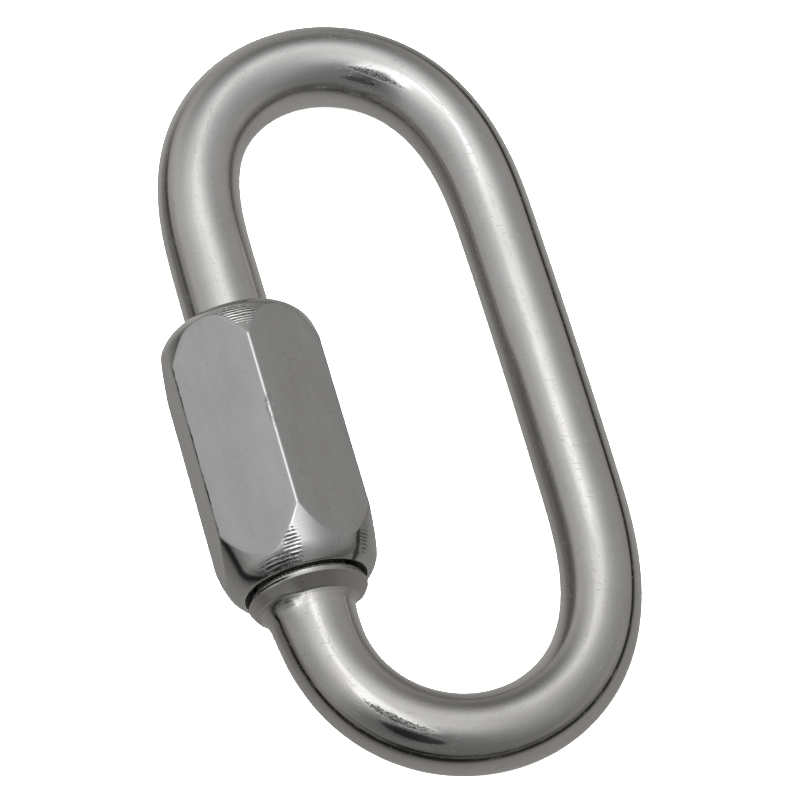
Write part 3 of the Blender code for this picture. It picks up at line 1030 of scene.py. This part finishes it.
def dark_ring(above, reach_above, reach_below):
    """1 on a ring: it ends sharply above and fades slowly below, by degrees above it."""
    high = above.at_least(0.0) / reach_above
    low = above.at_most(0.0) / reach_below
    return (high * high * high * high * -1.0 - low * low).exponential()


def make_room(world):
    """Brightness of the room by direction, as nodes."""
    graph = Graph(world)
    looking = graph.add("ShaderNodeTexCoord", {}, {}, "Generated")
    east, north, height = graph.split(looking)
    level = (1 - height * height).at_least(1e-4) ** 0.5
    elevation = height.arcsine() * math.degrees(1)
    east, north = east / level, north / level
    ring = east * RING_TILT[0] + north * RING_TILT[1] + RING_ELEVATION
    ring = ring + east * north * RING_TWIST[0] + (east * east - north * north) * RING_TWIST[1]
    above = elevation - ring
    wall = graph.step(elevation, *TABLE_EDGE)
    light = TABLE_BRIGHTNESS + wall * (WALL_BRIGHTNESS - TABLE_BRIGHTNESS)
    for lamp in LAMPS.values():
        light = light + lamp_light(graph, looking, lamp)
    for lamp in CRISP_LAMPS.values():
        light = light + lamp_light(graph, looking, lamp, crisp=True)
    ring_light = dark_ring(above, RING_ABOVE, RING_BELOW) * (1 - graph.step(north, *RING_GAP))
    second = dark_ring(above - SECOND_RING_LIFT, SECOND_RING_WIDTH, SECOND_RING_WIDTH)
    second = second * graph.step(north * -1.0, 0.0, 0.6)
    light = light - ring_light * RING_DARKNESS - second * SECOND_RING_DARKNESS
    tint = graph.mixed(graph.step(height, -0.1, 0.75), LOW_COLOUR, OVERHEAD_COLOUR)
    strength = light.at_least(DARKEST)
    background = graph.add("ShaderNodeBackground", {}, {"Color": tint, "Strength": strength})
    graph.add("ShaderNodeOutputWorld", {}, {"Surface": background})


scene = bpy.context.scene
scene.world = bpy.data.worlds.new("studio_room")
make_room(scene.world)
print("room with", len(LAMPS) + len(CRISP_LAMPS), "lamps and shades")

# %% [markdown]
# ## The floor
# The link lies on a pale table. A white sheet under polished steel would wash out its dark
# lines, so photographers shade what the metal sees. Cycles can do it plainly: the floor and the
# lamp that lights it are left out of glossy reflections, and the room above stands in for them.

# %% Pale floor and the soft lamp over it
FLOOR_SIZE = 3.0
FLOOR_GREY = 0.92
FILL_SIZE = 1.6
FILL_PLACE = (0.1, 0.15, 0.6)
FILL_POWER = 70.0


def make_floor():
    """A wide plain sheet that the link lies on."""
    half = FLOOR_SIZE / 2
    mesh = bpy.data.meshes.new("floor")
    corners = [(-half, -half, 0), (half, -half, 0), (half, half, 0), (-half, half, 0)]
    mesh.from_pydata(corners, [], [(0, 1, 2, 3)])
    floor = bpy.data.objects.new("floor", mesh)
    floor.visible_glossy = False
    material = bpy.data.materials.new("pale_floor")
    graph = Graph(material)
    surface = graph.add("ShaderNodeBsdfDiffuse", {}, {"Color": grey(FLOOR_GREY)})
    graph.add("ShaderNodeOutputMaterial", {}, {"Surface": surface})
    mesh.materials.append(material)
    bpy.context.scene.collection.objects.link(floor)


def make_fill():
    """A broad lamp overhead that lights the floor alone."""
    data = bpy.data.lights.new("fill", "AREA")
    data.shape = "DISK"
    data.size = FILL_SIZE
    data.energy = FILL_POWER
    fill = bpy.data.objects.new("fill", data)
    fill.location = FILL_PLACE
    fill.visible_glossy = False
    bpy.context.scene.collection.objects.link(fill)


make_floor()
make_fill()
scene.view_settings.view_transform = "Standard"
print("floor of", FLOOR_SIZE, "m, lit from", FILL_PLACE[2], "m above")

# %% [markdown]
# ## The camera
# The link was seen through a long lens from steeply above, so its near and far ends are drawn at
# nearly the same size. A camera could be aimed with a constraint. Here it is placed by an aim, a
# distance and three angles, which were found by fitting the outline of the link.

# %% Camera
AIM = Vector((1.056, -0.845, 4.0)) * MM
CAMERA_DISTANCE = 282.84 * MM
CAMERA_AZIMUTH = math.radians(-9.4995)
CAMERA_ELEVATION = math.radians(65.672)
CAMERA_ROLL = math.radians(-6.580)
LENS = 206.85


def make_camera():
    """A long lens, from above and from the collar's end, rolled a little."""
    flat = math.cos(CAMERA_ELEVATION)
    back = Vector((
        math.sin(CAMERA_AZIMUTH) * flat,
        -math.cos(CAMERA_AZIMUTH) * flat,
        math.sin(CAMERA_ELEVATION),
    ))
    level = Vector((0, 0, 1)).cross(back).normalized()
    upright = back.cross(level)
    right = level * math.cos(CAMERA_ROLL) + upright * math.sin(CAMERA_ROLL)
    up = upright * math.cos(CAMERA_ROLL) - level * math.sin(CAMERA_ROLL)
    camera = bpy.data.objects.new("camera", bpy.data.cameras.new("camera"))
    camera.data.lens = LENS
    camera.data.clip_start = 0.01
    camera.data.clip_end = 10
    turn = Matrix((right, up, back)).transposed().to_4x4()
    camera.matrix_world = Matrix.Translation(AIM + back * CAMERA_DISTANCE) @ turn
    bpy.context.scene.collection.objects.link(camera)
    bpy.context.scene.camera = camera
    print("camera at, in mm:", [round(v / MM, 1) for v in camera.location])


make_camera()
